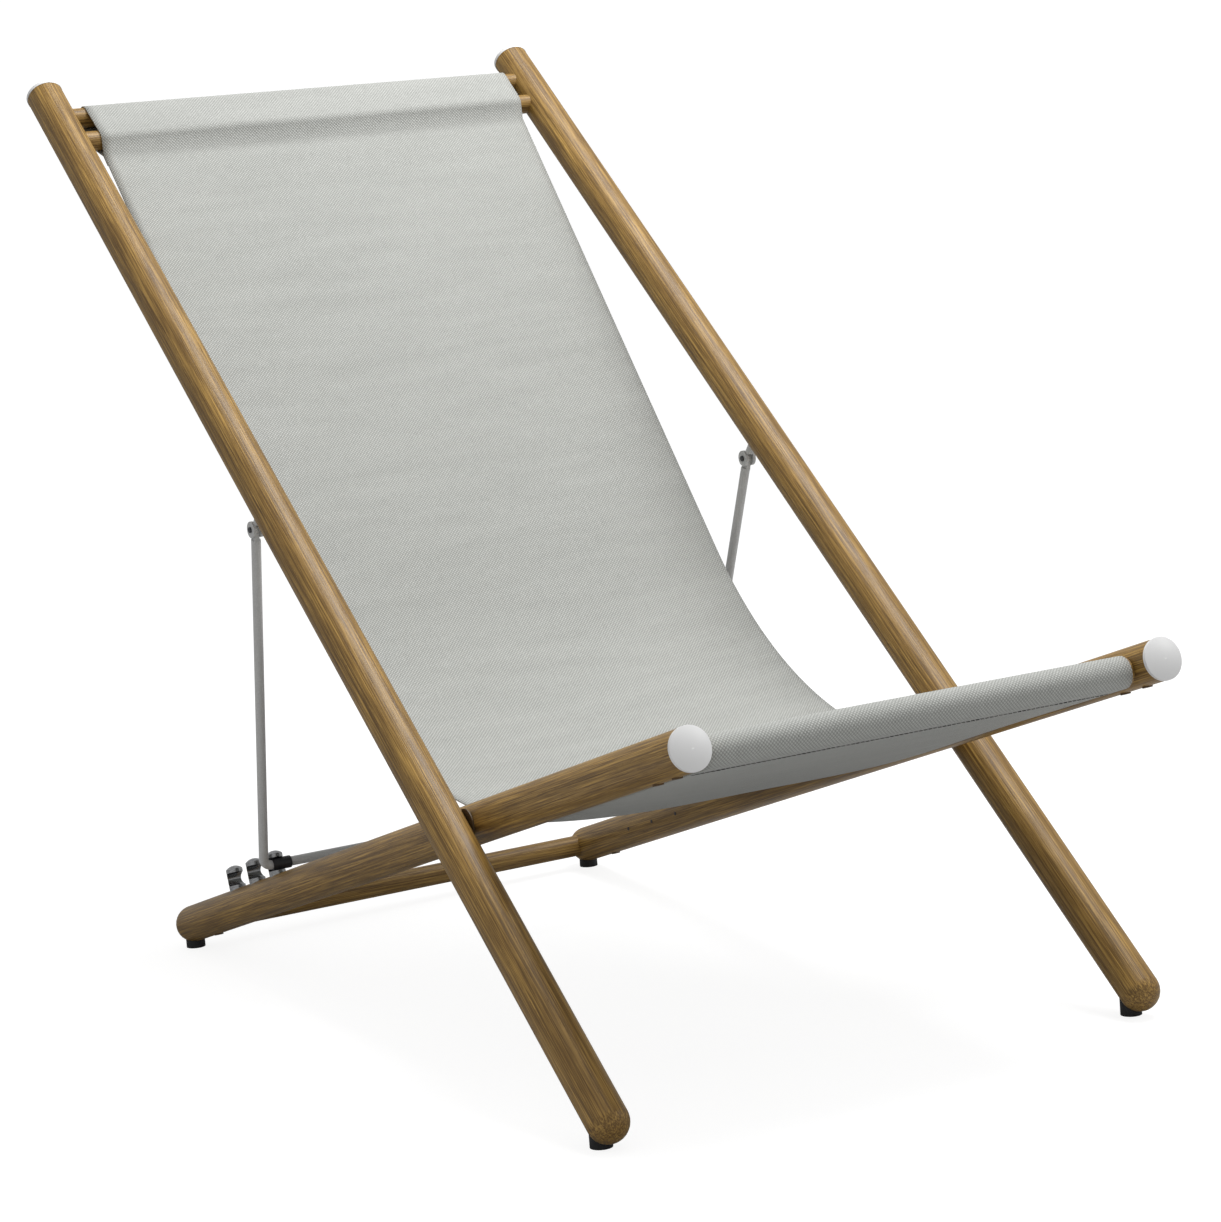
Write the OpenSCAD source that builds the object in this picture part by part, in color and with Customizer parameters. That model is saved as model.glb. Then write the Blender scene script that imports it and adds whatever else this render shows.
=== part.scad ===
// Folding deck chair: two pole frames crossing on a pair of pivot bolts, a woven sling
// between their rails, and a bent tube prop that sets the angle of the back.
// Millimetres. Front faces -Y, +X to the right, +Z up. Origin on the floor under the middle.

/* [Poles] */
// diameter of the four long poles
pole_d = 40; // [34:0.5:48]
// centre-to-centre distance of the two outer back poles
back_spacing = 589; // [500:1:700]
// back pole, crossing to the top end of the wood
back_upper = 1094; // [900:1:1250]
// back pole, crossing to the centre of its rounded foot
back_lower = 347; // [300:1:420]
// seat pole, crossing to the front end of the wood
seat_front = 402; // [330:1:480]
// slope of the back poles from the floor, degrees
back_slope = 40; // [36:0.5:46]
// slope of the seat poles from the floor, degrees
seat_slope = 17; // [15:0.5:22]

/* [Rails] */
// diameter of the two top dowels
top_rail_d = 22; // [18:0.5:26]
// distance of the upper dowel from the end of the wood
top_rail_drop = 41; // [36:1:80]
// distance between the two dowels
top_rail_gap = 40; // [34:1:60]
// diameter of the front rail
front_rail_d = 27; // [20:0.5:38]
// distance of the front rail from the front end of the wood
front_rail_back = 30; // [18:1:60]
// how far the front rail sits below the middle of the seat poles
front_rail_low = 3; // [0:0.5:6]
// diameter of the turned ends of the front rail
tenon_d = 16; // [12:0.5:20]
// diameter of the rear rail
rear_rail_d = 24; // [20:0.5:30]
// distance of the rear rail from the centre of the rounded foot
rear_rail_up = 6; // [0:1:40]
// depth of the rail ends in the poles
rail_in = 12; // [8:0.5:13]

/* [Caps and glides] */
// height of the straight rim of a cap
cap_rim = 3.5; // [2:0.5:10]
// height of the dome above the rim
cap_dome = 3.5; // [2:0.5:8]
// how much the rim stands proud of the pole
cap_over = 0.4; // [0:0.1:1.5]
// diameter of the spigot of a cap
spigot_d = 12; // [8:0.5:18]
// length of the spigot of a cap
spigot_l = 5; // [4:0.5:6]
// diameter of a glide
glide_d = 21; // [14:0.5:24]
// height of a rounded foot over the floor
glide_h = 6; // [3:0.5:10]
// how far behind the foot centre the front glides sit
glide_back = 15; // [4:0.5:20]

/* [Crossing] */
// thickness of the washer between the poles
washer_t = 1.5; // [1:0.5:6]
// diameter of the washer
washer_d = 30; // [20:1:38]
// diameter of the pivot bolt
bolt_d = 8; // [6:0.5:10]
// diameter of the bolt head
bolt_head_d = 17; // [12:0.5:20]
// thickness of the bolt head
bolt_head_t = 5; // [3:0.5:8]
// outer diameter of the threaded insert
insert_d = 13; // [11:0.5:16]

/* [Catches] */
// diameter of a catch peg
peg_d = 18; // [12:0.5:20]
// height of a catch peg above the pole
peg_h = 25; // [20:0.5:32]
// distance between the pegs
peg_pitch = 57; // [45:1:70]
// rearmost peg, distance from the centre of the rounded foot
peg_first = 144; // [110:1:180]
// height of the slot floor above the pole
slot_floor = 3.5; // [2:0.5:6]
// play of the sleeved bar in the slot
slot_play = 0.5; // [0.3:0.1:1.5]
// how far the bar sits ahead of the peg's axis
bar_ahead = 2.5; // [0:0.5:4]
// diameter of the pin that crosses each peg
cross_pin_d = 4; // [3:0.5:6]

/* [Prop] */
// diameter of the prop tube
prop_d = 10; // [8:0.5:12]
// prop pivot, distance along the back pole from the end of the wood
prop_from_top = 645; // [560:1:720]
// prop pivot, distance behind the axis of the back pole
prop_behind = 45.5; // [32:0.5:50]
// how far each lower corner of the prop lies inboard of its pivot
corner_in = 26.5; // [10:0.5:40]
// bend radius of the lower corners
prop_bend = 10; // [8:0.5:20]
// diameter of a pivot lug
lug_d = 17; // [14:0.5:22]
// thickness of one cheek of a lug
lug_cheek = 3; // [2:0.5:5]
// thickness of the flattened tube end
tongue_t = 5; // [3:0.5:6]
// play of the tongue between the cheeks
tongue_play = 0.4; // [0.2:0.1:1]
// diameter of the pivot pin
prop_pin_d = 6; // [4:0.5:7]
// wall of the black sleeve on the bar
sleeve_wall = 1.5; // [1:0.25:3]
// length of the black sleeve
sleeve_l = 21; // [14:1:30]

/* [Sling] */
// thickness of the cloth
cloth = 1.6; // [1:0.1:3]
// gap between the cloth and a back pole at the top dowels
side_gap_top = 10.5; // [4:0.5:40]
// gap between the cloth and a seat pole at the crossing
side_gap_mid = 1.5; // [1:0.5:20]
// gap between the cloth and a seat pole at the front rail
side_gap_front = 4; // [2:0.5:30]
// play between the cloth and the rails
sling_play = 0.4; // [0.3:0.1:1]
// radius of the curve of the seat
sling_r = 450; // [250:5:550]
// slope of the back part of the cloth, degrees
sling_back_slope = 50.4; // [46:0.1:56]
// slope of the seat part of the cloth, degrees
sling_seat_slope = 16.8; // [12:0.1:24]
// where the cloth clears the seat poles, distance behind the crossing
mid_back = 70; // [40:1:110]
// distance of the top seam below the lower dowel
seam_drop = 21; // [18:1:30]
// distance of the front seam behind the front rail
hem_back = 24; // [18:1:40]

/* [Screws and plugs] */
// distance between the two front plugs
plug_gap = 35; // [20:1:60]
// rear plug, distance from the centre of the rounded foot
plug_rear = 65; // [40:1:100]
// diameter of a wooden plug
plug_d = 10; // [7:0.5:12]
// how far a plug stands proud
plug_h = 1; // [0.5:0.25:2]
// radial play of pieces in their holes
fit_gap = 0.1; // [0.05:0.05:0.3]

/* [Hidden] */
$fn = 72;
r = pole_d / 2;
xb = back_spacing / 2;
xl = xb - pole_d - washer_t;
sa = sin(back_slope);
ca = cos(back_slope);
sb = sin(seat_slope);
cb = cos(seat_slope);
foot_z = r + glide_h;
zc = foot_z + back_lower * sa;
seat_rear = (zc - foot_z) / sb;
cap_r = r + cap_over;
dome_r = (cap_r * cap_r + cap_dome * cap_dome) / (2 * cap_dome);
// furthest points in Y, which centre the part on the origin
reach_back = (back_upper + cap_rim) * ca + cap_r * sa;
reach_front = (seat_front + cap_rim + cap_dome - dome_r) * cb + dome_r;
yc = (reach_front - reach_back) / 2;

// places along the poles, measured from the crossing
rail_up_s = back_upper - top_rail_drop;
rail_low_s = rail_up_s - top_rail_gap;
front_s = seat_front - front_rail_back;
rear_s = seat_rear - rear_rail_up;
peg_s = [for (i = [0:2]) seat_rear - peg_first - i * peg_pitch];
plug_s = [-front_s, -front_s + plug_gap, seat_rear - plug_rear];
sleeve_d = prop_d + 2 * sleeve_wall;
bar_s = peg_s[2] - bar_ahead;
bar_n = r + slot_floor + slot_play + sleeve_d / 2;

// foot centres and glides
front_foot_y = yc - back_lower * ca;
rear_foot_y = yc + seat_rear * cb;
front_glide_l = glide_h + (glide_back + glide_d / 2) * tan(back_slope);
rear_glide_l = glide_h + 8;

// prop pivot and bar in the Y-Z plane
piv_s = back_upper - prop_from_top;
piv_y = yc + piv_s * ca + prop_behind * sa;
piv_z = zc + piv_s * sa - prop_behind * ca;
bar_y = yc + bar_s * cb + bar_n * sb;
bar_z = zc - bar_s * sb + bar_n * cb;
prop_l = norm([bar_y - piv_y, bar_z - piv_z]);
prop_corner = xb - corner_in;
prop_tilt = atan2(bar_y - piv_y, piv_z - bar_z);
splay = atan((xb - prop_corner) / prop_l);
bend_turn = 90 - splay;
bend_len = prop_bend * tan(bend_turn / 2);
leg_l = prop_l / cos(splay);
lug_w = tongue_t + 2 * tongue_play + 2 * lug_cheek;
stem_d = 9;

// sling outline in the Y-Z plane
low = [yc + rail_low_s * ca, zc + rail_low_s * sa];
up = [yc + rail_up_s * ca, zc + rail_up_s * sa];
front = [yc - front_s * cb - front_rail_low * sb, zc + front_s * sb - front_rail_low * cb];
ka = sling_back_slope;
kb = sling_seat_slope;
top_in = top_rail_d / 2 + sling_play;
top_out = top_in + cloth;
hem_in = front_rail_d / 2 + sling_play;
hem_out = hem_in + cloth;
down = [-cos(ka), -sin(ka)];
fore = [-cos(kb), sin(kb)];
seam = low + seam_drop * down;
hem_at = front + (hem_in + cloth / 2) * [-sin(kb), -cos(kb)];
hem_seam = hem_at - hem_back * fore;
gap = hem_at - seam;
fold_x = down[0] * fore[1] - down[1] * fore[0];
meet = seam + (gap[0] * fore[1] - gap[1] * fore[0]) / fold_x * down;
tan_l = sling_r * tan((ka + kb) / 2);
back_end = meet - tan_l * down;
seat_end = meet + tan_l * fore;
arc_c = back_end + sling_r * [-sin(ka), cos(ka)];
half_top = xb - r - side_gap_top;
half_mid = xl - r - side_gap_mid;
half_front = xl - r - side_gap_front;
// the cloth leaves the space between the seat poles here
mid_y = yc + mid_back;

module on_back() {
  translate([0, yc, zc]) rotate([back_slope, 0, 0]) children();
}

module on_seat() {
  translate([0, yc, zc]) rotate([-seat_slope, 0, 0]) children();
}

module on_prop() {
  translate([0, piv_y, piv_z]) rotate([prop_tilt, 0, 0]) children();
}

module rod_x(d, x0, x1) {
  translate([x0, 0, 0]) rotate([0, 90, 0]) cylinder(d = d, h = x1 - x0);
}

// the same shape mirrored to the side asked for
module on_side(side) {
  if (side > 0) {
    children();
  } else {
    mirror([1, 0, 0]) children();
  }
}

module glide(x, y, l, d) {
  translate([x, y, 0]) cylinder(d = d, h = l);
}

module back_pole(side) {
  color("#a98450")
  on_side(side) difference() {
    on_back() difference() {
      translate([xb, 0, 0]) {
        translate([0, -back_lower, 0]) rotate([-90, 0, 0]) cylinder(r = r, h = back_lower + back_upper);
        translate([0, -back_lower, 0]) sphere(r = r);
      }
      // sockets of the dowels
      for (s = [rail_up_s, rail_low_s]) {
        translate([0, s, 0]) rod_x(top_rail_d + 2 * fit_gap, xb - r - 2, xb - r + rail_in + fit_gap);
      }
      // threaded insert
      rod_x(insert_d + 2 * fit_gap, xb - r - 2, xb + r - 8);
      // spigot of the cap
      translate([xb, back_upper - spigot_l - fit_gap, 0]) rotate([-90, 0, 0])
        cylinder(d = spigot_d + 2 * fit_gap, h = spigot_l + 2);
      // stem of the prop lug
      translate([xb, piv_s, -r - 2]) cylinder(d = stem_d + 2 * fit_gap, h = 14 + fit_gap);
    }
    translate([xb, front_foot_y + glide_back, -1])
      cylinder(d = glide_d + 2 * fit_gap, h = front_glide_l + 1 + fit_gap);
  }
}

module seat_pole(side) {
  color("#a07c4b")
  on_side(side) difference() {
    on_seat() difference() {
      translate([xl, 0, 0]) {
        translate([0, -seat_front, 0]) rotate([-90, 0, 0]) cylinder(r = r, h = seat_front + seat_rear);
        translate([0, seat_rear, 0]) sphere(r = r);
      }
      // pivot bolt and its sunk head
      rod_x(bolt_d + 4 * fit_gap, xl - r - 2, xl + r + 2);
      rod_x(bolt_head_d + 2 * fit_gap, xl - r - 2, xl - r + bolt_head_t + 1);
      // rails
      translate([0, -front_s, -front_rail_low]) rod_x(tenon_d + 2 * fit_gap, xl - r - 2, xl - r + rail_in + fit_gap);
      translate([0, rear_s, 0]) rod_x(rear_rail_d + 2 * fit_gap, xl - r - 2, xl - r + rail_in + fit_gap);
      // spigot of the cap
      translate([xl, -seat_front - 2, 0]) rotate([-90, 0, 0])
        cylinder(d = spigot_d + 2 * fit_gap, h = spigot_l + 2 + fit_gap);
      // catch pegs and their cross pins
      for (s = peg_s) {
        translate([xl, s, -6 - fit_gap]) cylinder(d = peg_d + 2 * fit_gap, h = r + 10);
        translate([0, s, 0]) rod_x(cross_pin_d + 2 * fit_gap, xl - r - 2, xl + r - 5 + fit_gap);
      }
      // plugs
      for (s = plug_s) {
        translate([xl, s, -r - 2]) cylinder(d = plug_d + 2 * fit_gap, h = 6 + fit_gap);
      }
    }
    translate([xl, rear_foot_y, -1]) cylinder(d = glide_d + 2 * fit_gap, h = rear_glide_l + 1 + fit_gap);
  }
}

module end_cap() {
  intersection() {
    cylinder(r = cap_r, h = cap_rim + cap_dome);
    translate([0, 0, cap_rim + cap_dome - dome_r]) sphere(r = dome_r);
  }
  translate([0, 0, -spigot_l]) cylinder(d = spigot_d, h = spigot_l + 1);
}

module back_cap(side) {
  color("#f4f3f1")
  on_back() translate([side * xb, back_upper, 0]) rotate([-90, 0, 0]) end_cap();
}

module seat_cap(side) {
  color("#efeeec")
  on_seat() translate([side * xl, -seat_front, 0]) rotate([90, 0, 0]) end_cap();
}

module top_rail_upper() {
  color("#b08a55")
  on_back() translate([0, rail_up_s, 0]) rod_x(top_rail_d, -(xb - r + rail_in), xb - r + rail_in);
}

module top_rail_lower() {
  color("#ab8450")
  on_back() translate([0, rail_low_s, 0]) rod_x(top_rail_d, -(xb - r + rail_in), xb - r + rail_in);
}

module front_rail() {
  color("#b18a52")
  on_seat() translate([0, -front_s, -front_rail_low]) {
    // full round between the poles, turned down where it enters them
    rod_x(front_rail_d, -(xl - r - 0.5), xl - r - 0.5);
    rod_x(tenon_d, -(xl - r + rail_in), xl - r + rail_in);
  }
}

module rear_rail() {
  color("#a57f4a")
  on_seat() translate([0, rear_s, 0]) rod_x(rear_rail_d, -(xl - r + rail_in), xl - r + rail_in);
}

module front_glides() {
  color("#1b1b1c")
  for (side = [-1, 1]) {
    glide(side * xb, front_foot_y + glide_back, front_glide_l, glide_d);
  }
}

module rear_glides() {
  color("#202021")
  for (side = [-1, 1]) {
    glide(side * xl, rear_foot_y, rear_glide_l, glide_d);
  }
}

module pivot_bolts() {
  color("#9c9fa1")
  for (side = [-1, 1]) {
    on_side(side) on_back() {
      rod_x(bolt_d, xl - r + 1, xb + 6);
      rod_x(bolt_head_d, xl - r + 1, xl - r + bolt_head_t);
    }
  }
}

module pivot_inserts() {
  color("#c3a25a")
  for (side = [-1, 1]) {
    on_side(side) on_back() difference() {
      rod_x(insert_d, xb - r + 1, xb + r - 8 - fit_gap);
      rod_x(bolt_d + 0.1, xb - r, xb + 6.5);
    }
  }
}

module pivot_washers() {
  color("#d8d6cf")
  for (side = [-1, 1]) {
    on_side(side) on_back() difference() {
      rod_x(washer_d, xl + r + 0.1, xb - r - 0.1);
      rod_x(bolt_d + 2 * fit_gap, xl + r - 1, xb - r + 1);
    }
  }
}

module prop_lug(side) {
  color("#d4d5d2")
  on_back() translate([side * xb, piv_s, -prop_behind]) difference() {
    union() {
      rod_x(lug_d, -lug_w / 2, lug_w / 2);
      cylinder(d = stem_d, h = prop_behind - r + 12);
    }
    // fork for the tongue of the prop
    translate([-tongue_t / 2 - tongue_play, -lug_d, -lug_d])
      cube([tongue_t + 2 * tongue_play, 2 * lug_d, lug_d + lug_d / 2 + 1]);
    rod_x(prop_pin_d + 0.1, -lug_w, lug_w);
  }
}

module prop_pins() {
  color("#55585a")
  on_prop() {
    for (side = [-1, 1]) {
      translate([side * xb, 0, 0]) rod_x(prop_pin_d, -lug_w / 2 - 1.5, lug_w / 2 + 1.5);
    }
  }
}

module prop_bracket() {
  color("#d9dad7")
  on_prop() {
    for (side = [-1, 1]) {
      on_side(side) {
        // lower corner, from the bar round to the leg
        translate([prop_corner - bend_len, 0, prop_bend - prop_l]) rotate([90, 0, 0]) rotate([0, 0, -90])
          rotate_extrude(angle = bend_turn) translate([prop_bend, 0]) circle(d = prop_d + 0.1);
        translate([xb, 0, 0]) rotate([0, splay, 0])
          translate([0, 0, -leg_l + bend_len - 0.5]) cylinder(d = prop_d, h = leg_l - bend_len - lug_d / 2 - 2.5);
        // flattened end round the pin
        translate([xb, 0, 0]) difference() {
          union() {
            rod_x(prop_d - 0.5, -tongue_t / 2, tongue_t / 2);
            translate([-tongue_t / 2, -prop_d / 2 + 0.6, -lug_d / 2 - 5])
              cube([tongue_t, prop_d - 1.2, lug_d / 2 + 5]);
          }
          rod_x(prop_pin_d + 0.1, -lug_w, lug_w);
        }
      }
    }
    translate([0, 0, -prop_l]) rod_x(prop_d, -(prop_corner - bend_len) - 0.5, prop_corner - bend_len + 0.5);
  }
}

module prop_sleeves() {
  color("#232324")
  on_prop() translate([0, 0, -prop_l]) {
    for (side = [-1, 1]) {
      on_side(side) difference() {
        rod_x(sleeve_d, prop_corner - bend_len - sleeve_l, prop_corner - bend_len);
        rod_x(prop_d + 0.1, prop_corner - bend_len - sleeve_l - 1, prop_corner - bend_len + 1);
      }
    }
  }
}

module catch_peg() {
  difference() {
    intersection() {
      translate([0, 0, -6]) cylinder(d = peg_d, h = r + 6 + peg_h);
      // rounded head
      translate([0, 0, r + peg_h - 13]) sphere(r = 13);
      translate([0, 0, -6]) cylinder(d = 2 * peg_d, h = r + 6 + peg_h);
    }
    peg_cuts();
  }
  difference() {
    translate([0, 0, -6]) cylinder(d = peg_d, h = r + 6 + peg_h - 9);
    peg_cuts();
  }
}

// slot open to the front with a round end behind the bar, and the hole of the cross pin
module peg_cuts() {
  translate([0, -bar_ahead, bar_n]) {
    rod_x(sleeve_d + 2 * slot_play, -peg_d, peg_d);
    translate([-peg_d, -peg_d, -sleeve_d / 2 - slot_play])
      cube([2 * peg_d, peg_d, sleeve_d + 2 * slot_play]);
  }
  rod_x(cross_pin_d + 0.1, -peg_d, peg_d);
}

module catch_pegs(side) {
  color("#b5b7b8")
  on_seat() {
    for (s = peg_s) {
      translate([side * xl, s, 0]) catch_peg();
    }
  }
}

module peg_pins() {
  color("#4a4b4c")
  for (side = [-1, 1]) {
    on_side(side) on_seat() {
      for (s = peg_s) {
        translate([0, s, 0]) rod_x(cross_pin_d, xl - r - 0.4, xl + r - 5);
      }
    }
  }
}

module pole_plugs() {
  color("#8d6a3c")
  on_seat() {
    for (side = [-1, 1]) {
      for (s = plug_s) {
        translate([side * xl, s, -r - plug_h]) cylinder(d = plug_d, h = plug_h + 4);
      }
    }
  }
}

// band from a along the unit direction e
module band(a, e, l) {
  translate(a) rotate(atan2(e[1], e[0])) translate([0, -cloth / 2]) square([l, cloth]);
}

module top_loop(q) {
  translate(up) circle(r = q);
  translate(low) circle(r = q);
  translate(low) rotate(back_slope) translate([0, -q]) square([top_rail_gap, 2 * q]);
}

// the two layers that meet in a point at distance l from a round of radius q
module web(c, dir, l, q) {
  a = acos(q / l);
  polygon([
    c + l * [cos(dir), sin(dir)],
    c + q * [cos(dir + a), sin(dir + a)],
    c,
    c + q * [cos(dir - a), sin(dir - a)]
  ]);
}

module sling_outline() {
  hem_gap = hem_seam - front;
  difference() {
    union() {
      top_loop(top_out);
      web(low, 180 + ka, seam_drop, top_out);
      translate(front) circle(r = hem_out);
      web(front, atan2(hem_gap[1], hem_gap[0]), norm(hem_gap), hem_out);
    }
    top_loop(top_in);
    translate(front) circle(r = hem_in);
  }
  band(seam - 2 * down, down, norm(back_end - seam) + 2.2);
  intersection() {
    difference() {
      translate(arc_c) circle(r = sling_r + cloth / 2);
      translate(arc_c) circle(r = sling_r - cloth / 2);
    }
    polygon([
      arc_c,
      arc_c + 2 * sling_r * [cos(ka - 90), sin(ka - 90)],
      arc_c + 2 * sling_r * [cos(270 - kb), sin(270 - kb)]
    ]);
  }
  band(seat_end - 0.2 * fore, fore, norm(hem_seam - seat_end) + 2.2);
}

module sling() {
  color("#bcbfb9")
  intersection() {
    translate([-xb, 0, 0]) rotate([90, 0, 90]) linear_extrude(height = 2 * xb) sling_outline();
    linear_extrude(height = 1500) polygon([
      [-half_front, front[0] - 30],
      [half_front, front[0] - 30],
      [half_mid, mid_y],
      [half_top, up[0] - 10],
      [half_top, up[0] + 30],
      [-half_top, up[0] + 30],
      [-half_top, up[0] - 10],
      [-half_mid, mid_y]
    ]);
  }
}

back_pole(-1);  // back_pole_left
back_pole(1);  // back_pole_right
back_cap(-1);  // back_cap_left
back_cap(1);  // back_cap_right
top_rail_upper();
top_rail_lower();
front_glides();
pivot_bolts();
pivot_inserts();
pivot_washers();
prop_lug(-1);  // prop_lug_left
prop_lug(1);  // prop_lug_right
sling();
seat_pole(-1);  // seat_pole_left
seat_pole(1);  // seat_pole_right
seat_cap(-1);  // seat_cap_left
seat_cap(1);  // seat_cap_right
front_rail();
rear_rail();
catch_pegs(-1);  // catch_pegs_left
catch_pegs(1);  // catch_pegs_right
peg_pins();
rear_glides();
pole_plugs();
prop_bracket();
prop_sleeves();
prop_pins();
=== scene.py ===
import math
import bpy
import bmesh
from mathutils import Vector, Matrix


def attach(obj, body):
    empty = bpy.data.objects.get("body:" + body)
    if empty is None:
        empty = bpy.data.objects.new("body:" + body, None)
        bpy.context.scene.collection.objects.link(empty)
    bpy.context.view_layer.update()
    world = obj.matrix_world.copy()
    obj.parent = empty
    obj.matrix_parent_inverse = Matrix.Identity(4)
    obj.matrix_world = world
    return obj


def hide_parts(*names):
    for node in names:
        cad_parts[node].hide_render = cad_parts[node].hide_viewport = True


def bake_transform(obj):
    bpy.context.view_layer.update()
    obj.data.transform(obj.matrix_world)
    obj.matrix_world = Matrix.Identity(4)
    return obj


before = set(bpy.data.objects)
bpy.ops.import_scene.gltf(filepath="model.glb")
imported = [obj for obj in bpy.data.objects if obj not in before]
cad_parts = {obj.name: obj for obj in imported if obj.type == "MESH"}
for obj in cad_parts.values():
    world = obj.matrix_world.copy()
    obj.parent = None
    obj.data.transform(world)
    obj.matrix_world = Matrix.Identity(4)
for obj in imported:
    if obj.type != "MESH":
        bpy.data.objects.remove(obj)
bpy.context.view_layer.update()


# ---- Poles: four lengths of 40 mm round teak, turned, sanded and oiled. The grain runs along
# each pole, with dark pores drawn out into streaks and a slow change from honey to brown.
class Wire:
    """A number on a node's output; sums and products of it add the Math nodes."""

    def __init__(self, finish, socket):
        self.finish = finish
        self.socket = socket

    def _two(self, kind, a, b):
        node = self.finish.tree.nodes.new("ShaderNodeMath")
        node.operation = kind
        for i, v in enumerate((a, b)):
            if isinstance(v, Wire):
                self.finish.tree.links.new(v.socket, node.inputs[i])
            else:
                node.inputs[i].default_value = v
        return Wire(self.finish, node.outputs[0])

    def __add__(self, o):
        return self._two("ADD", self, o)

    def __radd__(self, o):
        return self._two("ADD", o, self)

    def __sub__(self, o):
        return self._two("SUBTRACT", self, o)

    def __mul__(self, o):
        return self._two("MULTIPLY", self, o)

    def least(self, o):
        return self._two("MINIMUM", self, o)

    def most(self, o):
        return self._two("MAXIMUM", self, o)

    def sine(self):
        return self._two("SINE", self, 0)

    def size(self):
        return self._two("ABSOLUTE", self, 0)


class Finish:
    """A material of its own tree: one shader, and one method that adds any node."""

    def __init__(self, name, **fixed):
        self.mat = bpy.data.materials.new(name)
        self.mat.use_nodes = True
        self.tree = self.mat.node_tree
        self.shader = self.tree.nodes["Principled BSDF"]
        for socket, value in fixed.items():
            self.shader.inputs[socket.replace("_", " ")].default_value = value

    def node(self, kind, settings, out, **sockets):
        node = self.tree.nodes.new(kind)
        for k, v in settings.items():
            if k == "stops":
                ramp = node.color_ramp
                while len(ramp.elements) < len(v):
                    ramp.elements.new(0.5)
                for e, (at, colour) in zip(ramp.elements, v):
                    e.position = at
                    e.color = colour
            else:
                setattr(node, k, v)
        for k, v in sockets.items():
            numbered = k[0] == "n" and k[1:].isdigit()
            socket = node.inputs[int(k[1:]) if numbered else k.replace("_", " ")]
            if isinstance(v, Wire):
                self.tree.links.new(v.socket, socket)
            else:
                socket.default_value = v
        return Wire(self, node.outputs[out])

    def feed(self, **sockets):
        for k, v in sockets.items():
            self.tree.links.new(v.socket, self.shader.inputs[k.replace("_", " ")])

    def along(self, turn, stretch):
        """Object coordinates turned about X so that Y runs along the piece, then drawn out."""
        place = self.node("ShaderNodeTexCoord", {}, "Object")
        turned = self.mapping(Vector=place, Rotation=turn)
        return self.mapping(Vector=turned, Scale=stretch)

    def mapping(self, **sockets):
        return self.node("ShaderNodeMapping", {"vector_type": "POINT"}, 0, **sockets)

    def bump(self, strength, distance, height):
        return self.node(
            "ShaderNodeBump", {}, 0, Strength=strength, Distance=distance, Height=height
        )

    def noise(self, where, scale, detail=2.0, rough=0.5):
        return self.node(
            "ShaderNodeTexNoise", {}, 0, Vector=where, Scale=scale, Detail=detail, Roughness=rough
        )

    def mix(self, amount, a, b, kind="MIX"):
        return self.node(
            "ShaderNodeMix", {"data_type": "RGBA", "blend_type": kind}, 2, n0=amount, n6=a, n7=b
        )

    def blend(self, amount, a, b, low=0.0, high=1.0):
        """A ramp of the amount between two colours."""
        return self.node("ShaderNodeValToRGB", {"stops": [(low, a), (high, b)]}, 0, Fac=amount)


def teak(name, turn, honey, brown, dark, shift=0.0, long_axis=1):
    m = Finish(name, Roughness=0.42, Specular_IOR_Level=0.38)
    drawn = []
    for share in (0.07, 0.014, 0.012):
        scale = [1.0, 1.0, 1.0]
        scale[long_axis] = share
        drawn.append(m.along(turn, scale))
    figure = m.noise(drawn[0], 70.0 + shift, 3.0, 0.55)
    grain = m.noise(drawn[1], 820.0, 3.0, 0.65)
    pores = m.noise(drawn[2], 1900.0, 2.0, 0.5)
    # growth rings cut by the round pole, which give the long pointed arches
    offset = m.mapping(Vector=drawn[0], Location=(0.034 + 0.002 * shift, 0.0015 * shift, 0.027))
    rings = m.node(
        "ShaderNodeTexWave",
        {"wave_type": "RINGS", "rings_direction": "XYZ"[long_axis], "wave_profile": "SAW"}, 1,
        Vector=offset, Scale=62.0, Distortion=2.2, Detail=2.0, Detail_Scale=26.0,
    )
    base = m.blend(figure * 0.7 + grain * 0.3, brown, honey, 0.34, 0.62)
    base = m.mix((rings - 0.62).most(0.0) * 1.25, base, dark)
    lined = m.mix(((grain - 0.36) * 3.2).most(0.12).least(1.0), dark, base)
    in_pore = ((pores - 0.55) * 7.0).most(0.0).least(1.0) * 0.75
    lined = m.mix(in_pore, lined, (0.34, 0.26, 0.18, 1.0), "MULTIPLY")
    m.feed(Base_Color=lined, Roughness=0.34 + grain * 0.16)
    m.feed(Normal=m.bump(0.3, 0.0006, grain * 0.6 - (pores - 0.52).most(0.0) * 1.8))
    return m.mat


HONEY = (0.52, 0.315, 0.083, 1.0)
BROWN = (0.35, 0.205, 0.05, 1.0)
DARK = (0.115, 0.06, 0.014, 1.0)
back_rise = math.radians(40.0)
seat_rise = math.radians(17.0)


def refit(node, material):
    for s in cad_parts[node].material_slots:
        s.link = "OBJECT"
        s.material = material


for pole, where, lie, shift in (
    ("back_pole_left", "back left", -back_rise, 1.0),
    ("back_pole_right", "back right", -back_rise, 5.0),
    ("seat_pole_left", "seat left", seat_rise, 9.0),
    ("seat_pole_right", "seat right", seat_rise, 14.0),
):
    refit(pole, teak("teak " + where, (lie, 0, 0), HONEY, BROWN, DARK, shift))

# ---- Rails: lighter teak dowels glued into the poles. They run across the chair, so their
# grain runs along X.
RAIL = (0.54, 0.33, 0.09, 1.0)
rail_teak = teak("teak rails", (0, 0, 0), RAIL, BROWN, DARK, 3.0, long_axis=0)
for rail in ("top_rail_upper", "top_rail_lower", "front_rail", "rear_rail"):
    refit(rail, rail_teak)

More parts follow.
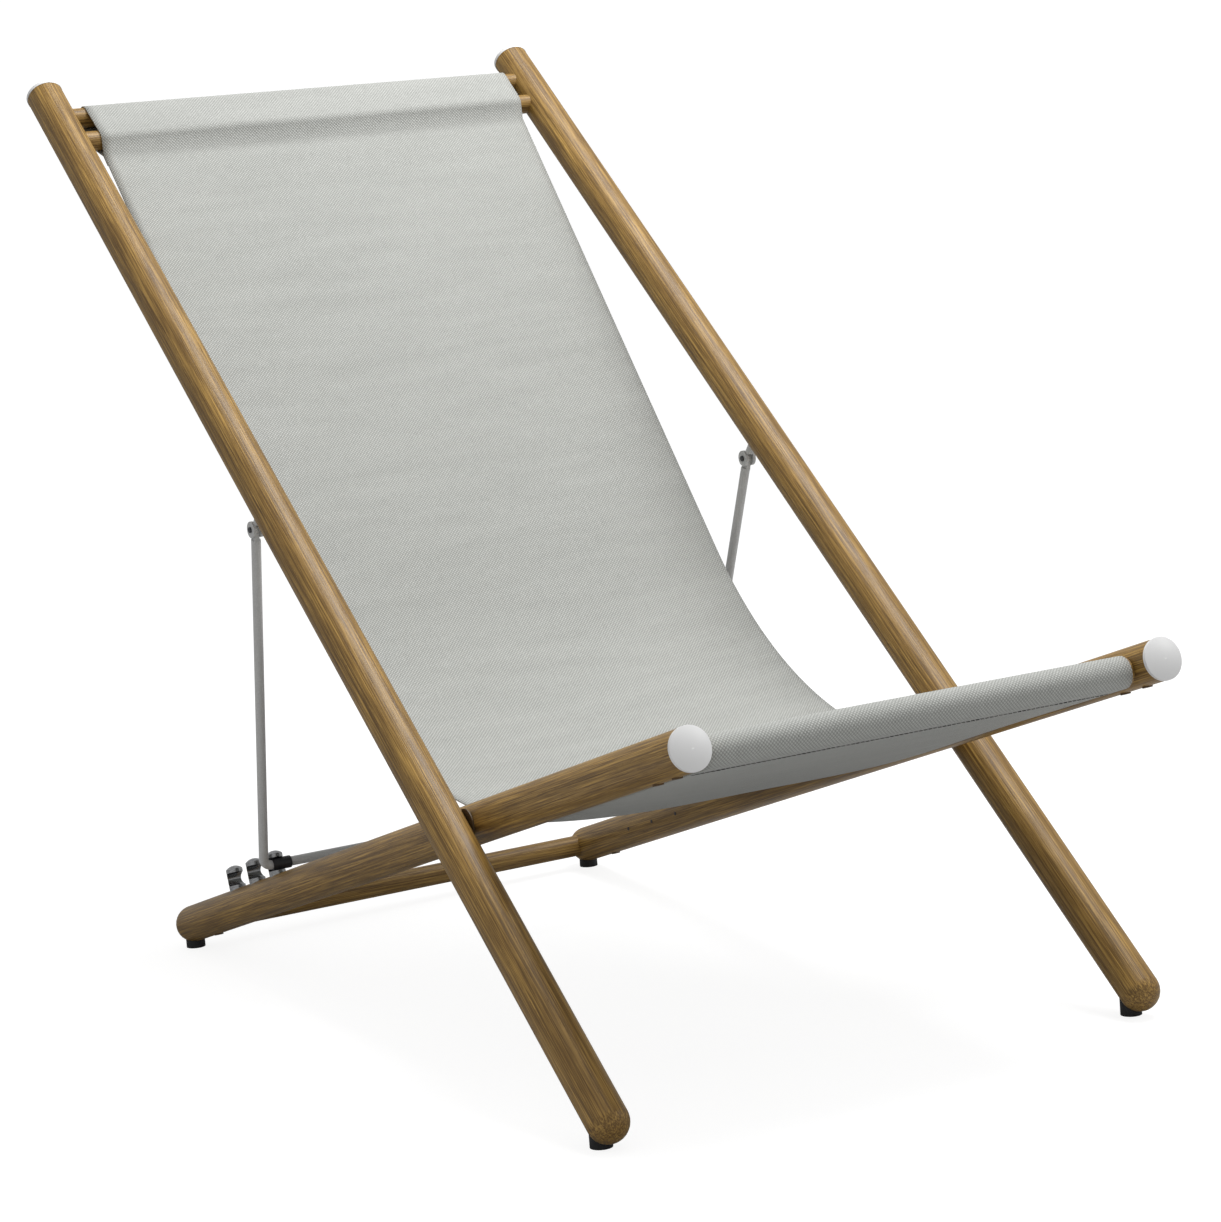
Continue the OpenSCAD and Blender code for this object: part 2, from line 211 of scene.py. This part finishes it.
# ---- Plugs: short teak dowels over the screws on the undersides, a shade darker because
# their end grain shows.
plug = Finish("teak plugs", Roughness=0.6)
speck = plug.noise(plug.along((0, 0, 0), (1, 1, 1)), 900.0, 3.0)
plug.feed(
    Base_Color=plug.blend(speck, (0.06, 0.034, 0.012, 1), (0.15, 0.086, 0.03, 1), 0.35, 0.65),
)
refit("pole_plugs", plug.mat)

# ---- Caps: glossy white moulded plastic discs, domed, pressed into the ends of the poles.
white = Finish(
    "white cap", Base_Color=(0.76, 0.76, 0.757, 1.0), Roughness=0.3, Specular_IOR_Level=0.4,
)
ripple = white.noise(white.along((0, 0, 0), (1, 1, 1)), 240.0, 2.0)
white.feed(Roughness=0.26 + ripple * 0.1)
white.feed(Normal=white.bump(0.05, 0.0004, ripple))
for cap in ("back_cap_left", "back_cap_right", "seat_cap_left", "seat_cap_right"):
    refit(cap, white.mat)

# ---- Glides: black rubber pads under the four feet, with a faint moulded texture.
rubber = Finish("black rubber", Roughness=0.62)
grit = rubber.noise(rubber.along((0, 0, 0), (1, 1, 1)), 1500.0, 2.0)
rubber.feed(
    Base_Color=rubber.blend(grit, (0.008, 0.008, 0.009, 1), (0.022, 0.022, 0.024, 1), 0.3, 0.7),
    Roughness=0.5 + grit * 0.25,
)
for pad in ("front_glides", "rear_glides"):
    refit(pad, rubber.mat)

# ---- Pivot: a steel bolt in a brass insert on each side, with a thin brown nylon washer
# between the poles. Only the washer's edge shows.
washer = Finish("brown washer", Roughness=0.6)
cloudy = washer.noise(washer.along((0, 0, 0), (1, 1, 1)), 500.0, 2.0)
washer.feed(
    Base_Color=washer.blend(cloudy, (0.06, 0.036, 0.014, 1), (0.1, 0.06, 0.024, 1), 0.3, 0.7),
)
refit("pivot_washers", washer.mat)
bolt = Finish("steel bolt", Metallic=1.0, Roughness=0.35)
turned = bolt.noise(bolt.along((0, 0, 0), (40, 1, 1)), 120.0, 2.0)
bolt.feed(
    Base_Color=bolt.blend(turned, (0.36, 0.37, 0.38, 1), (0.52, 0.53, 0.54, 1), 0.3, 0.7),
    Roughness=0.28 + turned * 0.2,
)
refit("pivot_bolts", bolt.mat)
brass = Finish("brass insert", Metallic=1.0, Roughness=0.35)
knurl = brass.noise(brass.along((0, 0, 0), (1, 1, 1)), 800.0, 2.0)
brass.feed(
    Base_Color=brass.blend(knurl, (0.42, 0.30, 0.10, 1), (0.62, 0.46, 0.18, 1), 0.3, 0.7),
)
refit("pivot_inserts", brass.mat)

# ---- Catch pegs: 18 mm stainless pins with a milled slot, brushed round their length, and a
# dark pin across each inside the pole.
peg = Finish("brushed peg", Metallic=1.0, Roughness=0.3)
brush = peg.noise(peg.along((seat_rise, 0, 0), (1, 1, 14)), 260.0, 3.0, 0.6)
peg.feed(
    Base_Color=peg.blend(brush, (0.20, 0.205, 0.21, 1), (0.50, 0.505, 0.51, 1), 0.35, 0.65),
    Roughness=0.12 + brush * 0.18,
)
peg.feed(Normal=peg.bump(0.12, 0.0002, brush))
for side in ("catch_pegs_left", "catch_pegs_right"):
    refit(side, peg.mat)
pin = Finish("dark pin", Metallic=1.0, Roughness=0.4)
smudge = pin.noise(pin.along((0, 0, 0), (1, 1, 1)), 700.0, 2.0)
pin.feed(
    Base_Color=pin.blend(smudge, (0.05, 0.05, 0.055, 1), (0.12, 0.12, 0.125, 1), 0.3, 0.7),
    Roughness=0.3 + smudge * 0.2,
)
for pins in ("peg_pins", "prop_pins"):
    refit(pins, pin.mat)

# ---- Prop: a 10 mm steel tube bent to a U and powder coated light grey, hung from two
# forked lugs, with black sleeves where its bar sits in the catches.
coat = Finish("light grey coat", Roughness=0.34, Specular_IOR_Level=0.5)
peel = coat.noise(coat.along((0, 0, 0), (1, 1, 1)), 620.0, 3.0)
coat.feed(
    Base_Color=coat.blend(peel, (0.50, 0.502, 0.495, 1), (0.58, 0.582, 0.575, 1), 0.3, 0.7),
    Roughness=0.28 + peel * 0.14,
)
coat.feed(Normal=coat.bump(0.06, 0.0003, peel))
for grey in ("prop_bracket", "prop_lug_left", "prop_lug_right"):
    refit(grey, coat.mat)
sleeve = Finish("black sleeve", Roughness=0.45)
satin = sleeve.noise(sleeve.along((0, 0, 0), (1, 1, 1)), 900.0, 2.0)
sleeve.feed(
    Base_Color=sleeve.blend(satin, (0.012, 0.012, 0.013, 1), (0.028, 0.028, 0.03, 1), 0.3, 0.7),
    Roughness=0.36 + satin * 0.2,
)
refit("prop_sleeves", sleeve.mat)

# ---- Sling: one strip of pale grey outdoor cloth, woven from coated yarn. Its head loops
# round both top dowels and is sewn shut below them, and its front end is a pocket on the rail.
# Its path is drawn in the plane of Y and Z: from the crossing of the poles the dowels lie up
# the back poles and the front rail lies along the seat poles, a little below their line.
back_turn = 50.4  # slope of the taut back
seat_turn = 16.8  # slope of the taut seat
cloth_t = 0.0013
cross_y, cross_z = -0.23002, 0.24905
lower_dowel_up, upper_dowel_up = 1.013, 1.053
rail_fore, rail_low = 0.372, 0.003
rise = Vector((math.cos(back_rise), math.sin(back_rise)))
low_at = Vector((cross_y, cross_z)) + rise * lower_dowel_up
up_at = Vector((cross_y, cross_z)) + rise * upper_dowel_up
front_at = Vector((
    cross_y - rail_fore * math.cos(seat_rise) - rail_low * math.sin(seat_rise),
    cross_z + rail_fore * math.sin(seat_rise) - rail_low * math.cos(seat_rise),
))


def unit(deg):
    return Vector((math.cos(math.radians(deg)), math.sin(math.radians(deg))))


def round_path(centre, radius, a0, a1, step=9.0):
    n = max(2, int(abs(a1 - a0) / step))
    return [centre + radius * unit(a0 + (a1 - a0) * i / n) for i in range(n + 1)]


dowel_r, rail_r, slack, cloth_half = 0.0110, 0.0135, 0.0004, 0.0008
head_r = dowel_r + slack + cloth_half
hem_r = rail_r + slack + cloth_half
down = unit(180 + back_turn)
fore = unit(180 - seat_turn)
rear_side = unit(back_turn - 90)
seam_drop = 0.021
seam_at = low_at + seam_drop * down
lean = math.degrees(math.acos(head_r / seam_drop))
hem_at = front_at + hem_r * unit(270 - seat_turn)
hem_depth = 0.024
hem_seam = hem_at - hem_depth * fore
cross = down.x * fore.y - down.y * fore.x
gap = hem_at - seam_at
meet = seam_at + (gap.x * fore.y - gap.y * fore.x) / cross * down
bend_r = 0.450
tan_l = bend_r * math.tan(math.radians((back_turn + seat_turn) / 2))
back_end = meet - tan_l * down
seat_end = meet + tan_l * fore
bend_at = back_end + bend_r * unit(back_turn + 90)
to_seam = hem_seam - front_at
hem_dir = math.degrees(math.atan2(to_seam.y, to_seam.x))
hem_lean = math.degrees(math.acos(hem_r / to_seam.length))

ply = 0.0015  # from the middle of one layer of a seam to the middle of the next
head_tail, hem_tail = 0.014, 0.010  # cloth beyond each seam
path = [seam_at + head_tail * down + ply * rear_side, seam_at + ply * rear_side]
path += round_path(low_at, head_r, 180 + back_turn + lean, 310)
path += round_path(up_at, head_r, 310, 490)
path += round_path(low_at, head_r, 130, 180 + back_turn - lean)
path += [seam_at]
path += [seam_at.lerp(back_end, i / 60) for i in range(1, 60)]
path += round_path(bend_at, bend_r, back_turn - 90, -90 - seat_turn, 1.2)
path += [seat_end.lerp(hem_seam, i / 24) for i in range(1, 25)]
path += [hem_at]
path += round_path(front_at, hem_r, 270 - seat_turn, hem_dir + hem_lean)[1:]
inner = unit(90 - seat_turn)
path += [hem_seam + ply * inner, hem_seam - hem_tail * fore + ply * inner]

run = [0.0]
for a, b in zip(path, path[1:]):
    run.append(run[-1] + (b - a).length)

knee = cross_y + 0.070
head_half, knee_half, front_half = 0.2640, 0.2315, 0.2290


def half_width(p):
    """Half of the cloth's width: it narrows from the head to the knee, then a little more."""
    if p.x >= knee:
        t = min(1.0, (p.x - knee) / (up_at.x - 0.010 - knee))
        return knee_half + (head_half - knee_half) * t
    t = (knee - p.x) / (knee - front_at.x)
    return knee_half - (knee_half - front_half) * min(1.0, t)


across = 49
sag_depth, ripple_depth = 0.011, 0.0009
head_held, head_fade = 0.17, 0.35  # cloth held flat at the head, and where the sag sets in
hem_held, hem_fade = 0.13, 0.25
cloth_mesh = bmesh.new()
pattern = cloth_mesh.loops.layers.uv.new("weave")
rows = []
for i, p in enumerate(path):
    w = half_width(p)
    # the way across the cloth's face, for the slight sag between its edges
    a = path[max(0, i - 1)]
    b = path[min(len(path) - 1, i + 1)]
    d = (b - a).normalized()
    out = Vector((-d.y, d.x))
    free = min(1.0, max(0.0, (run[i] - run[0] - head_held) / head_fade))
    free *= min(1.0, max(0.0, (run[-1] - hem_held - run[i]) / hem_fade))
    row = []
    for k in range(across):
        u = -1 + 2 * k / (across - 1)
        x = u * w
        wave = math.sin(run[i] * 9.0 + u * 2.3) * (1 - abs(u))
        q = p + out * (sag_depth * free * (1 - abs(u) ** 3.5) + ripple_depth * free * wave)
        row.append((cloth_mesh.verts.new((x, q.x, q.y)), x, run[i]))
    rows.append(row)
for r0, r1 in zip(rows, rows[1:]):
    for k in range(across - 1):
        ring = [r0[k], r0[k + 1], r1[k + 1], r1[k]]
        f = cloth_mesh.faces.new([v[0] for v in ring])
        f.smooth = True
        for loop, v in zip(f.loops, ring):
            loop[pattern].uv = (v[1], v[2])
sling_data = bpy.data.meshes.new("sling_cloth")
cloth_mesh.to_mesh(sling_data)
cloth_mesh.free()
sling = bpy.data.objects.new("sling_cloth", sling_data)
bpy.context.scene.collection.objects.link(sling)
wall = sling.modifiers.new("thickness", "SOLIDIFY")
wall.thickness = cloth_t
wall.offset = 0.0
wall.use_even_offset = True

weave = Finish(
    "grey woven cloth",
    Roughness=0.8, Specular_IOR_Level=0.25, Sheen_Weight=0.12, Sheen_Roughness=0.5,
)
uv = weave.node("ShaderNodeUVMap", {"uv_map": "weave"}, 0)
ux = weave.node("ShaderNodeSeparateXYZ", {}, 0, Vector=uv)
uy = Wire(weave, ux.socket.node.outputs[1])
yarn_pitch = 0.0036
turn = math.pi / yarn_pitch
# the yarns cross over and under in turn, which leaves small diamonds in both slants
slant = ((ux + uy) * turn).sine().size()
counter = ((ux - uy) * turn).sine().size()
diamonds = slant * counter


def yarn(scale):
    """Thick and thin places in the yarns, drawn out one way by the two scales."""
    return weave.noise(weave.mapping(Vector=uv, Scale=scale), 1.0, 2.0)


weft_slub = yarn((70, 1500, 1))
warp_slub = yarn((1500, 55, 1))
tone = yarn((7, 48, 1))
height = diamonds + weft_slub * 0.25 + warp_slub * 0.25
shade = diamonds * 0.62 + weft_slub * 0.28 + warp_slub * 0.28 + tone * 0.16
weave.feed(
    Base_Color=weave.blend(
        shade, (0.185, 0.190, 0.176, 1), (0.53, 0.538, 0.513, 1), 0.16, 1.12
    ),
)
weave.feed(Normal=weave.bump(0.5, 0.0006, height))
sling.data.materials.append(weave.mat)
bpy.context.view_layer.update()
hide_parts("sling")
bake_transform(sling)
sum(
        (half_width(a) + half_width(b)) * (b - a).length for a, b in zip(path, path[1:])
    )

# ---- Seams: rows of lockstitch in grey polyester thread. Two cross the back of the head below
# the lower dowel, two cross the underside of the front pocket, and one shows inside it. Each
# stitch is a short straight run of thread. The two rows under the pocket are painted near black
# in blotches, as painted shadow in the gaps of the stitching.
stitch_pitch = 0.0052
stitch_length = 0.0036
thread_r = 0.00045
on_face = cloth_t / 2 + 0.0001  # from the middle of the cloth to a thread lying on it
thread = Finish("seam thread", Roughness=0.7)
twist_and_shadow = thread.noise(thread.along((0, 0, 0), (1, 1, 1)), 1800.0, 2.0)
thread.feed(Base_Color=thread.blend(twist_and_shadow, (0.33, 0.34, 0.32, 1), (0.45, 0.46, 0.44, 1), 0.3, 0.7))
# painted shadow: the thread of the rows under the pocket runs from near black to dark grey in long
# blotches, standing in for the shade in the gaps of the stitching
shadow_thread = Finish("hem thread painted shadow", Roughness=0.8)
twist_and_shadow = shadow_thread.noise(shadow_thread.along((0, 0, 0), (1, 1, 1)), 60.0, 2.0)
shadow_thread.feed(Base_Color=shadow_thread.blend(twist_and_shadow, (0.02, 0.02, 0.02, 1), (0.2, 0.2, 0.19, 1), 0.4, 0.6))

stitching = bpy.data.node_groups.new("stitch row", "GeometryNodeTree")
face = stitching.interface
face.new_socket("Geometry", in_out="OUTPUT", socket_type="NodeSocketGeometry")
for label, kind in (
    ("Stitches", "NodeSocketInt"),
    ("First stitch", "NodeSocketVector"),
    ("Step", "NodeSocketVector"),
    ("Stitch length", "NodeSocketFloat"),
    ("Thread radius", "NodeSocketFloat"),
    ("Thread", "NodeSocketMaterial"),
):
    face.new_socket(label, in_out="INPUT", socket_type=kind)
given = stitching.nodes.new("NodeGroupInput")
made = stitching.nodes.new("NodeGroupOutput")
row_of = stitching.nodes.new("GeometryNodeMeshLine")
one = stitching.nodes.new("GeometryNodeMeshCylinder")
one.inputs["Vertices"].default_value = 8
lay = stitching.nodes.new("GeometryNodeTransform")
lay.inputs["Rotation"].default_value = (0, math.radians(90), 0)
place = stitching.nodes.new("GeometryNodeInstanceOnPoints")
real = stitching.nodes.new("GeometryNodeRealizeInstances")
dye = stitching.nodes.new("GeometryNodeSetMaterial")
joins = (
    (given.outputs["Stitches"], row_of.inputs["Count"]),
    (given.outputs["First stitch"], row_of.inputs["Start Location"]),
    (given.outputs["Step"], row_of.inputs["Offset"]),
    (given.outputs["Stitch length"], one.inputs["Depth"]),
    (given.outputs["Thread radius"], one.inputs["Radius"]),
    (one.outputs["Mesh"], lay.inputs["Geometry"]),
    (row_of.outputs["Mesh"], place.inputs["Points"]),
    (lay.outputs["Geometry"], place.inputs["Instance"]),
    (place.outputs["Instances"], real.inputs["Geometry"]),
    (real.outputs["Geometry"], dye.inputs["Geometry"]),
    (given.outputs["Thread"], dye.inputs["Material"]),
    (dye.outputs["Geometry"], made.inputs["Geometry"]),
)
for a, b in joins:
    stitching.links.new(a, b)


def stitch_row(name, at, half, body, yarn_and_shadow=thread):
    """A row of stitches across the cloth at a point of its path, from edge to edge."""
    count = int(2 * half / stitch_pitch)
    holder = bpy.data.objects.new(name + "_row", bpy.data.meshes.new(name + "_row"))
    bpy.context.scene.collection.objects.link(holder)
    mod = holder.modifiers.new("stitches", "NODES")
    mod.node_group = stitching
    values = {
        "Stitches": count,
        "First stitch": (-(count - 1) * stitch_pitch / 2, at.x, at.y),
        "Step": (stitch_pitch, 0, 0),
        "Stitch length": stitch_length,
        "Thread radius": thread_r,
        "Thread": yarn_and_shadow.mat,
    }
    for item in stitching.interface.items_tree:
        if item.in_out == "INPUT":
            mod[item.identifier] = values[item.name]
    bpy.context.view_layer.update()
    laid = holder.evaluated_get(bpy.context.evaluated_depsgraph_get())
    plain = bpy.data.meshes.new_from_object(laid)
    bpy.data.objects.remove(holder)
    row = bpy.data.objects.new(name, plain)
    bpy.context.scene.collection.objects.link(row)
    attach(row, body)


for name, off in (("head_stitches_upper_back", 0.003), ("head_stitches_lower_back", 0.010)):
    at = seam_at + off * down + (ply + on_face) * rear_side
    stitch_row(name, at, half_width(at) - 0.004, "back_frame")
under = unit(270 - seat_turn)
# the two rows under the pocket take the thread painted with shadow
for name, off in (("hem_stitches_front", 0.0025), ("hem_stitches_back", -0.0045)):
    at = hem_seam + off * fore + on_face * under
    stitch_row(name, at, half_width(at) - 0.003, "seat_frame", shadow_thread)
at = hem_seam - 0.0049 * fore + (ply + on_face) * inner
stitch_row("hem_stitches_back_top", at, half_width(at) - 0.003, "seat_frame")

# ---- Studio: a plain white floor and backdrop, one large soft light overhead, a weaker one
# from the right, and the camera. The camera sees both brighter than they light the chair.
def split_by_ray(tree, lights_room, camera_sees, output):
    """Gives the camera's own rays one shader and all other rays the other."""
    seen = tree.nodes.new("ShaderNodeLightPath")
    either = tree.nodes.new("ShaderNodeMixShader")
    tree.links.new(seen.outputs["Is Camera Ray"], either.inputs[0])
    tree.links.new(lights_room.outputs[0], either.inputs[1])
    tree.links.new(camera_sees.outputs[0], either.inputs[2])
    tree.links.new(either.outputs[0], output.inputs[0])


floor_half = 30
corners = [(-1, -1), (1, -1), (1, 1), (-1, 1)]
floor_mesh = bpy.data.meshes.new("studio_floor")
floor_mesh.from_pydata(
    [(floor_half * x, floor_half * y, 0) for x, y in corners], [], [(0, 1, 2, 3)]
)
floor = bpy.data.objects.new("studio_floor", floor_mesh)
bpy.context.scene.collection.objects.link(floor)
paper = Finish("studio paper", Roughness=0.9, Specular_IOR_Level=0.1)
paper.shader.inputs["Base Color"].default_value = (0.28, 0.28, 0.28, 1)
paper.shader.inputs["Emission Color"].default_value = (1, 1, 1, 1)
paper.shader.inputs["Emission Strength"].default_value = 0.86
grey = paper.tree.nodes.new("ShaderNodeBsdfDiffuse")
grey.inputs["Color"].default_value = (0.5, 0.5, 0.5, 1)
split_by_ray(paper.tree, grey, paper.shader, paper.tree.nodes["Material Output"])
floor_mesh.materials.append(paper.mat)

world = bpy.data.worlds.new("studio")
bpy.context.scene.world = world
world.use_nodes = True
sky = world.node_tree
dim = sky.nodes["Background"]
dim.inputs["Color"].default_value = (1.0, 1.0, 1.0, 1)
dim.inputs["Strength"].default_value = 0.54
bright = sky.nodes.new("ShaderNodeBackground")
bright.inputs["Color"].default_value = (1.0, 1.0, 1.0, 1)
bright.inputs["Strength"].default_value = 1.05
split_by_ray(sky, dim, bright, sky.nodes["World Output"])


def soft_light(name, place, aim, side, power):
    data = bpy.data.lights.new(name, "AREA")
    data.shape = "RECTANGLE"
    data.size = side[0]
    data.size_y = side[1]
    data.energy = power
    lamp = bpy.data.objects.new(name, data)
    bpy.context.scene.collection.objects.link(lamp)
    way = (Vector(aim) - Vector(place)).normalized()
    facing = way.to_track_quat("-Z", "Y").to_matrix().to_4x4()
    lamp.matrix_world = Matrix.Translation(place) @ facing


soft_light("key", (0.7, -0.2, 3.0), (0, 0, 0.4), (1.8, 1.8), 84)
soft_light("side", (2.6, -2.2, 2.2), (0, 0, 0.4), (1.2, 1.2), 9)

eye = bpy.data.cameras.new("camera")
eye.sensor_fit = "HORIZONTAL"
eye.sensor_width = 36.0
eye.lens = 108.21
eye.shift_x = -0.027
eye.shift_y = -0.14
eye.clip_end = 100
camera = bpy.data.objects.new("camera", eye)
bpy.context.scene.collection.objects.link(camera)
az, el, roll = (math.radians(v) for v in (-30.13, 6.144, -4.424))
back = Vector((math.sin(az) * math.cos(el), -math.cos(az) * math.cos(el), math.sin(el)))
right = (-back).cross(Vector((0, 0, 1))).normalized()
up = right.cross(-back)
tilted_right = math.cos(roll) * right + math.sin(roll) * up
tilted_up = -math.sin(roll) * right + math.cos(roll) * up
camera.matrix_world = Matrix.Translation((-1.8004, -3.2445, 0.9596)) @ Matrix(
    (tilted_right, tilted_up, back)
).transposed().to_4x4()
bpy.context.scene.camera = camera
bpy.context.scene.view_settings.view_transform = "Standard"
